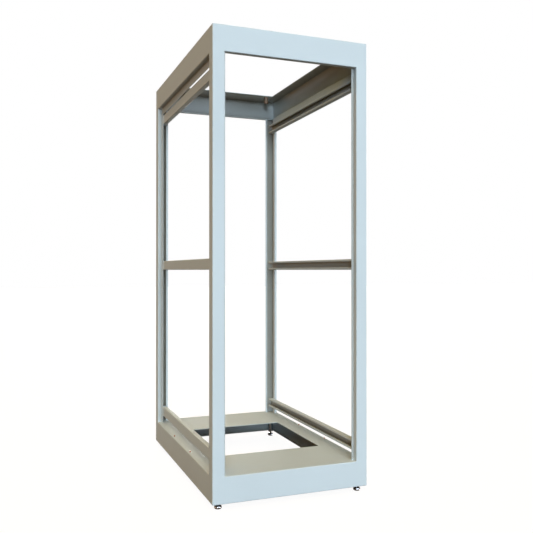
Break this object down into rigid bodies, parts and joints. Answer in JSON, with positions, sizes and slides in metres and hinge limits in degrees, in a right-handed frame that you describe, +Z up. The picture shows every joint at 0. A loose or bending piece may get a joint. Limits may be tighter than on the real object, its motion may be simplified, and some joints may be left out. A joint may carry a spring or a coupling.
{
  "type": "rack cabinet frame",
  "caption": "Open welded frame of an equipment rack cabinet: folded corner posts between top and base rings, side strut channels and levelling feet.",
  "frame": {"origin": "on the floor, under the middle of the frame", "axes": "+X to the right across the width, +Y from the front to the back, +Z up"},
  "size_m": [0.608, 0.959, 1.698],
  "materials": {
    "frame_paint": "smooth light grey paint, satin",
    "bright_chrome": "bright chrome plate",
    "zinc_steel": "zinc-plated steel"
  },
  "bodies": {
    "frame": {"base_rail_back": "frame_paint", "base_rail_front": "frame_paint", "base_rail_left": "frame_paint", "base_rail_right": "frame_paint", "corner_post_back_left": "frame_paint", "corner_post_back_right": "frame_paint", "corner_post_front_left": "frame_paint", "corner_post_front_right": "frame_paint", "foot_boss_back_left": "zinc_steel", "foot_boss_back_right": "zinc_steel", "foot_boss_front_left": "zinc_steel", "foot_boss_front_right": "zinc_steel", "lifting_boss_back_left": "zinc_steel", "lifting_boss_back_right": "zinc_steel", "lifting_boss_front_left": "zinc_steel", "lifting_boss_front_right": "zinc_steel", "panel_pin_back_left": "zinc_steel", "panel_pin_back_right": "zinc_steel", "panel_pin_front_left": "zinc_steel", "panel_pin_front_right": "zinc_steel", "side_strut_left_lower": "frame_paint", "side_strut_left_middle": "frame_paint", "side_strut_left_upper": "frame_paint", "side_strut_right_lower": "frame_paint", "side_strut_right_middle": "frame_paint", "side_strut_right_upper": "frame_paint", "top_rail_back": "frame_paint", "top_rail_front": "frame_paint", "top_rail_left": "frame_paint", "top_rail_right": "frame_paint"},
    "foot_front_left": {"levelling_foot_front_left": "bright_chrome"},
    "foot_front_right": {"levelling_foot_front_right": "bright_chrome"},
    "foot_back_left": {"levelling_foot_back_left": "bright_chrome"},
    "foot_back_right": {"levelling_foot_back_right": "bright_chrome"}
  },
  "joints": [
    {"name": "level_front_left", "type": "slide", "parent": "frame", "child": "foot_front_left", "axis": [0, 0, -1], "range_m": [-0.003, 0.02]},
    {"name": "level_front_right", "type": "slide", "parent": "frame", "child": "foot_front_right", "axis": [0, 0, -1], "range_m": [-0.003, 0.02]},
    {"name": "level_back_left", "type": "slide", "parent": "frame", "child": "foot_back_left", "axis": [0, 0, -1], "range_m": [-0.003, 0.02]},
    {"name": "level_back_right", "type": "slide", "parent": "frame", "child": "foot_back_right", "axis": [0, 0, -1], "range_m": [-0.003, 0.02]}
  ]
}
